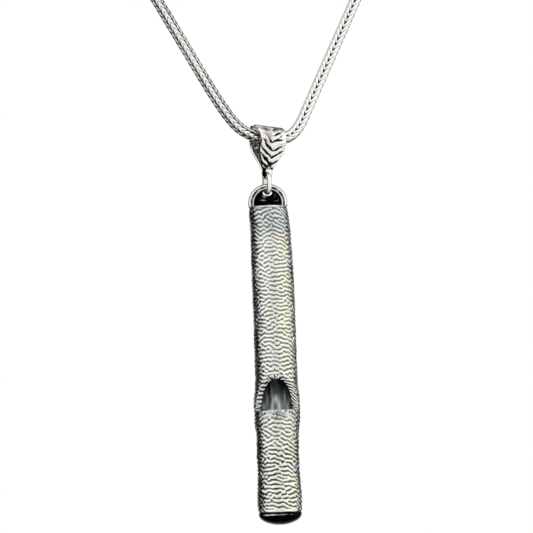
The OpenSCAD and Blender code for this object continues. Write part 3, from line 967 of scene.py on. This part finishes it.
def make_lug():
    """Half-round rim with a grooved face over a sunk web painted black as shade, with painted
    glints.
    """
    centre_z = BAR[2] - MOUTH[2] - LUG_R
    base_z = centre_z - LUG_LEG
    arc = np.linspace(0, math.pi, 90)
    path = [(LUG_R, 0, base_z - 0.05), (LUG_R, 0, base_z + 0.3)]
    path += [(LUG_R * math.cos(a), 0, centre_z + LUG_R * math.sin(a)) for a in arc]
    path += [(-LUG_R, 0, base_z + 0.3), (-LUG_R, 0, base_z - 0.05)]
    out = [(1, 0, 0)] * 2 + [(math.cos(a), 0, math.sin(a)) for a in arc] + [(-1, 0, 0)] * 2
    psi = round_angles(LUG_SIDES)
    # the sides of the rim that face front and back each carry one groove
    groove = np.exp(-((np.abs(np.sin(psi)) - 0.97) / 0.1) ** 2) * (np.abs(np.cos(psi) + 0.1) < 0.35)
    wobble = smooth_noise(len(path), LUG_SIDES, 12, 4.4, scale=0.9, seed=13)
    radius = LUG_BAR_R - LUG_GROOVE * groove[None] - LUG_WOBBLE + LUG_WOBBLE * wobble
    rim = sweep(path, out, circle_section(radius, LUG_SIDES))
    dark = LUG_PATINA_AND_SHADE * groove[None] * (0.9 + 0.3 * wobble)
    # painted shade: the rim's inside, which faces the web, is black
    dark = dark + LUG_PATINA_AND_SHADE * step(-np.cos(psi), 0.35, 0.9)[None]
    # painted shade: the outside of the arch's upper part is black too
    high = step(np.array(out)[:, 2], 0.25, 0.6)
    dark = np.clip(dark + high[:, None] * step(np.cos(psi), 0.8, 0.92)[None], 0, 1)
    web, web_faces = lug_web(centre_z, base_z)
    # painted glints on the web's painted shade
    painted_glints = smooth_noise(len(web), 1, len(web) / 40, 1, scale=0.5, seed=67)[:, 0]
    web_shade = 1 - 0.5 * np.clip(painted_glints, 0, 1)
    base = len(path) * LUG_SIDES
    faces = rod_faces(len(path), LUG_SIDES) + [tuple(base + k for k in f) for f in web_faces]
    points = np.vstack([rim.reshape(-1, 3), web])
    return make_piece("hanging_lug_rim", "whistle", from_whistle(points), faces, LUG_SILVER,
                      "hanging_lug", np.concatenate([dark.ravel(), web_shade]))


def lug_web(centre_z, base_z):
    """The web: rings of points from the link's slot out to the rim."""
    around, rings = 96, 12
    slot_z = BAR[2] - MOUTH[2] - LUG_BAR_R - LUG_SLOT_H - 0.005
    slot_up = slot_z - centre_z
    angle = round_angles(around)
    ray = np.stack([np.cos(angle), np.sin(angle)], -1)
    slot = ray * (LUG_SLOT_W, LUG_SLOT_H)
    edge = []
    for dx, dz in ray:
        # how far this way it is to the base, to a leg or to the arch
        far = math.inf
        if dz < -1e-6:
            far = min(far, (base_z - slot_z) / dz)
        if abs(dx) > 1e-6:
            far = min(far, LUG_R / abs(dx))
        b = dz * slot_up
        root = -b + math.sqrt(b * b + LUG_R ** 2 - slot_up ** 2)
        if slot_z + root * dz > centre_z:
            far = min(far, root)
        edge.append((far * dx, far * dz))
    edge = np.array(edge)
    dents = smooth_noise(rings, around, 3, 12, scale=0.6, seed=31)
    layers = []
    for side in (-1, 1):
        rows = []
        for i, u in enumerate(np.linspace(0, 1, rings)):
            flat = slot + (edge - slot) * u
            y = side * (LUG_WEB / 2 - (0.1 if u == 0 else 0.0) + 0.03 * dents[i])
            rows.append(np.stack([flat[:, 0], y, slot_z + flat[:, 1]], -1))
        layers.append(np.array(rows))
    grid = np.concatenate([layers[0], layers[1][::-1]])
    return grid.reshape(-1, 3), grid_faces(len(grid), around, True)


LINK_SIDES = 18
LINK_WOBBLE = 0.014
# where round its wire the link is painted black as shade
LINK_SHADE_TURN = math.radians(100)


def make_oval_link():
    """The narrow link, drawn wire with a painted shade band along it."""
    half = (LINK_H - LINK_W) / 2
    r = LINK_W / 2
    arc = np.linspace(0, math.pi, 34)
    upper = [(r * math.cos(a), half + r * math.sin(a)) for a in arc]
    lower = [(-r * math.cos(a), -half - r * math.sin(a)) for a in arc]
    oval = np.array(upper + [(-r, 0.2), (-r, -0.2)] + lower + [(r, -0.2), (r, 0.2)])
    path = np.column_stack([np.zeros(len(oval)), oval]) + HOLE - np.array([0, 0, LINK_H / 2])
    out = np.column_stack([np.zeros(len(oval)), unit(oval)])
    wobble = smooth_noise(len(path), LINK_SIDES, 12, 3, scale=0.6, seed=41)
    radius = LINK_WIRE_R - 0.01 + LINK_WOBBLE * wobble
    grid = sweep(path, out, circle_section(radius, LINK_SIDES), True)
    seam_patina_and_shade = step(np.cos(round_angles(LINK_SIDES) - LINK_SHADE_TURN), 0.7, 0.92)
    dark = np.broadcast_to(seam_patina_and_shade, (len(path), LINK_SIDES))
    return make_piece("oval_link_wire", "link", grid.reshape(-1, 3),
                      grid_faces(len(path), LINK_SIDES, True), LINK_SILVER, "oval_link",
                      dark.ravel())


# ---- clasp spring ----

SPRING_TURNS = 6
STEPS_PER_TURN = 18
SPRING_RANGE = (math.radians(166.1), math.radians(197.9))
CLASP_CENTRE = np.array([-30.4, 0, 0])
CLASP_MID_R = 2.75
COIL_R = 0.4
COIL_WIRE_R = 0.1
COIL_SIDES = 10


def make_spring():
    """The spring that pushes the clasp's bolt shut, coiled along its channel."""
    t = np.linspace(0, 1, SPRING_TURNS * STEPS_PER_TURN + 1)
    where = between(SPRING_RANGE, t)
    round_wire = 2 * math.pi * SPRING_TURNS * t
    outwards = np.stack([np.cos(where), 0 * where, np.sin(where)], -1)
    across = outwards * np.cos(round_wire)[:, None] + np.outer(np.sin(round_wire), [0, 1, 0])
    path = CLASP_CENTRE + outwards * CLASP_MID_R + across * COIL_R
    grid = sweep(path, across, circle_section(COIL_WIRE_R, COIL_SIDES))
    return make_piece("bolt_spring", "chain", grid.reshape(-1, 3), rod_faces(len(path), COIL_SIDES),
                      SPRING_STEEL, "clasp_spring")


# ---- bail ----

BAIL_COLS = 64
# how far the fold's left end flares over the chain
FLARE = 0.85
# how far in the sheet's edges are rounded, and how deep
EDGE_W = 0.34
EDGE_DROP = 0.22
# where the leaves start below the fold's centre
LEAF_TOP = 0.8
# the V grooves: their spacing, depth and middle, which drifts left up the leaf
CHEVRON_PITCH = 1.5
CHEVRON_H = 0.24
CHEVRON_U = 0.15
CHEVRON_DRIFT = 0.8
# their left and right arms: how they rise, how long and how wide they are
ARM_RISE = (0.88, 0.5)
ARM_LEN = (2.9, 2.5)
ARM_WIDTH = (1.0, 0.8)
FINE_LINES = 0.5


def bail_point(points):
    """From the bail's own frame, its fold's centre at the origin, to the row's."""
    c, s = math.cos(BAIL_LEAN), math.sin(BAIL_LEAN)
    p = np.asarray(points, float)
    x, y, z = p[..., 0], p[..., 1], p[..., 2]
    return turn_z(np.stack([c * x + s * z, y, -s * x + c * z], -1), BAIL_TURN) + BIGHT


def fold_line():
    """The sheet's middle line from the front tip over the fold to the back
    one, as (y, z)."""
    r = FOLD_R + BAIL_T / 2
    low = np.linspace(-BAIL_LEN - LOBE_R, -PINCH, 18)
    leaf = np.linspace(-PINCH, -LEAF_TOP, 52)[1:]
    tip_y = BAIL_T / 2 + 0.005
    slope = (r - 0.1 - tip_y) / (PINCH - LEAF_TOP)
    front = [(-tip_y, z) for z in low] + [(-(tip_y + (z + PINCH) * slope), z) for z in leaf]
    start = math.atan2(front[-1][1], -front[-1][0])
    arc = np.linspace(start, math.pi - start, 64)[1:-1]
    top = [(-r * math.cos(a), r * math.sin(a)) for a in arc]
    back = [(-y, z) for y, z in front[::-1]]
    return np.array(front + top + back)


def leaf_half_width(z):
    """Half the sheet's width at a height below the fold's centre."""
    tip = BAIL_LEN - LOBE_R / 2
    straight = np.interp(-z, [2.4, 3.0, 4.7, tip], [BAIL_W / 2, BAIL_W / 2 - 0.12, 2.25, 1.25])
    lobe = LOBE_R * np.sqrt(np.clip(1 - ((z + BAIL_LEN) / LOBE_R) ** 2, 0, 1))
    return np.where(z > -tip, straight, lobe)


def chevrons(u, v, width=1.0):
    """Height of the V ridges, 0 in the grooves and 1 between them: u across
    the leaf, v down it. Each arm is a groove that narrows at both its ends."""
    middle = CHEVRON_U - CHEVRON_DRIFT * (1 - step(v, 0.0, 8.0))
    off = np.abs(u - middle)
    rise, length, broad = (np.where(u < middle, *arms) for arms in (ARM_RISE, ARM_LEN, ARM_WIDTH))
    phase = ((v + rise * off) / CHEVRON_PITCH) % 1
    arm = np.clip((off + 0.15) / length, 0, 1)
    half = width * broad * (0.03 + 0.27 * np.sqrt(np.sin(math.pi * arm)))
    return step(np.abs(phase - 0.5), half * 0.5, half)


# the heights below the fold's centre where the grooves end and the tip starts
TIP_RANGE = (PINCH + 0.2, PINCH + 0.7)
# how far noise bends the grooves across the leaf and down it
WARP = (0.2, 0.28)


def bail_tarnish_and_shade(u, z, down, ridge, rough, rim):
    """How dark a row of the sheet's outside is, with painted shade down the front leaf's left edge.
    rim is 0 at its two edges.
    """
    dark = (1 - step(ridge, 0.1, 0.75)) * (1 - step(-z, *TIP_RANGE)) + 0.2 * rough
    # rubbed bright down its left side and over the top
    rubbed = np.maximum(0.7 * (1 - step(down, 2.5, 5.5)) * (u < CHEVRON_U),
                        0.85 * (1 - step(down, 0.6, 2.6)))
    # fine engraved lines between the grooves, high on the leaf
    fine = (1 - chevrons(u, down + CHEVRON_PITCH / 2, 0.6)) * (1 - step(down, 4.5, 6.5))
    dark = dark * (1 - rubbed) + FINE_LINES * fine
    # the two sides of the neck, and the hollow over the link
    neck = step(-z, PINCH - 0.2, PINCH + 0.6) * (step(-u, 0.35, 0.6) + 0.6 * step(u, 0.8, 1.1))
    hollow = band(-z, (4.7, 5.1), (6.1, 6.4)) * (1 - step(np.abs(u - 0.1), 0.45, 0.8))
    # painted shade: a dark line down the front leaf's left edge
    left_edge_shade = step(down, 3.5, 5.0) * (u < 0)
    return np.clip(dark + neck + 0.7 * hollow, 0, 1) * rim + (1 - rim) * left_edge_shade


def make_bail():
    """The folded sheet, grooved outside, with its edges rounded."""
    line = fold_line()
    along = unit(np.gradient(line, axis=0))
    normal = np.stack([-along[:, 1], along[:, 0]], -1)
    outward = np.sign(normal[:, 0] * line[:, 0] + normal[:, 1] * (line[:, 1] + 3))
    normal *= np.where(outward == 0, 1, outward)[:, None]
    distance = distance_along(line)
    down = np.abs(distance - distance[-1] / 2)
    across = np.linspace(-1, 1, BAIL_COLS)
    size = (len(line), BAIL_COLS, distance[-1], 7)
    rough = smooth_noise(*size, scale=0.35, seed=51)
    warp = smooth_noise(*size, scale=2.6, seed=57)
    smudge = smooth_noise(*size, scale=0.9, seed=53)
    rows, dark = [], []
    for i, (y, z) in enumerate(line):
        half = float(leaf_half_width(z))
        u = across * half
        edge = np.clip((half - np.abs(u)) / EDGE_W, 0, 1)
        rim = step(half - np.abs(u), 0.05, 0.3)
        round_off = EDGE_DROP * (1 - np.sqrt(1 - (1 - edge) ** 2))
        ridge = chevrons(u + WARP[0] * warp[i], down[i] + WARP[1] * warp[i, ::-1])
        ridge = ridge * (1 - step(-z, *TIP_RANGE))
        # the outside is a little lower over the top of the fold
        lift = (BAIL_T / 2 - 0.1 + CHEVRON_H * ridge * edge + 0.03 * rough[i] - round_off
                - 0.2 * (1 - step(down[i], 0.0, 3.0)))
        low = -BAIL_T / 2 + round_off
        side = u - FLARE * (1 - step(down[i], 0.3, 4.2)) * np.clip(-across, 0, 1)
        outer, inner = (np.stack([side, y + normal[i, 0] * h, z + normal[i, 1] * h], -1)
                        for h in (lift, low))
        rows.append(np.concatenate([outer, inner[::-1]]))
        lining = 0.22 + 0.3 * smudge[i] - 0.6 * ridge * step(down[i], 3.8, 6.5)
        dark.append(np.concatenate([bail_tarnish_and_shade(u, z, down[i], ridge, rough[i], rim),
                                    (np.clip(lining, 0, 1) * rim)[::-1]]))
    points = bail_point(np.array(rows).reshape(-1, 3))
    return make_piece("folded_bail", "bail", points, rod_faces(len(line), 2 * BAIL_COLS),
                      BAIL_SILVER, "bail", np.array(dark).ravel())


# ---- stage and light ----

def make_stage():
    """A pale floor well below the whistle."""
    floor_z = CAD_BOX[0][2] - FLOOR_DROP
    corners = [(x * FLOOR_HALF, y * FLOOR_HALF, floor_z)
               for x, y in ((-1, -1), (1, -1), (1, 1), (-1, 1))]
    mesh = bpy.data.meshes.new("floor")
    mesh.from_pydata(corners, [], [(0, 1, 2, 3)])
    mesh.materials.append(matte("paper", PAPER, PAPER_ROUGH))
    floor = add_object("floor", mesh)
    # the silver mirrors the studio's lights, not the paper
    floor.visible_glossy = False


def make_light():
    """A studio: a broad soft front light with a dimmer gap where the camera
    stands, a smaller one straight behind, and a white background."""
    n = Nodes(bpy.data.worlds.new("studio"), "Background")
    bpy.context.scene.world = n.owner
    coords = n.add("ShaderNodeTexCoord")

    def facing(direction, stops):
        """A ramp over the cosine of the angle to a direction."""
        dot = n.add("ShaderNodeVectorMath", operation="DOT_PRODUCT")
        n.put(coords.outputs["Generated"], dot.inputs[0])
        dot.inputs[1].default_value = Vector(direction).normalized()
        fit = n.add("ShaderNodeMapRange")
        n.put(-1, fit.inputs["From Min"])
        n.put(dot.outputs["Value"], fit.inputs["Value"])
        return n.ramp(fit.outputs["Result"], [((at + 1) / 2, colour) for at, colour in stops])

    lamp, camera = math.radians(CAMERA_AZ + LIGHT_SWING), math.radians(CAMERA_AZ)
    front = facing((math.sin(lamp), -math.cos(lamp), LIGHT_RISE), FRONT_STOPS)
    above = facing((0, 0, 1), HEIGHT_STOPS)
    behind = facing((-math.sin(camera), math.cos(camera), 0), BACK_STOPS)
    gap = facing((math.sin(camera), -math.cos(camera), 0), GAP_STOPS)
    lit = n.mixed("MULTIPLY", 1, n.mixed("MULTIPLY", 1, front, above), gap)
    rays = n.add("ShaderNodeLightPath")
    n.shade(n.mixed("MIX", rays.outputs["Is Camera Ray"], n.mixed("ADD", 1, lit, behind), grey(1)),
            "Color")
    n.shade(1.0, "Strength")


bpy.context.scene.view_settings.view_transform = "Standard"
make_camera()
route = Route(ROUTE)
chain = make_chain(route)
make_tube()
make_plug()
make_top_cap()
make_lug()
make_oval_link()
make_bail()
make_spring()
for name in ("left_end_cap", "right_end_cap", "clasp_link", "ring_link", "clasp_body",
             "clasp_bolt", "end_ring"):
    mesh = frame["nodes"][name].data
    mesh.materials.clear()
    mesh.materials.append(PLAIN_SILVER)
make_stage()
make_light()
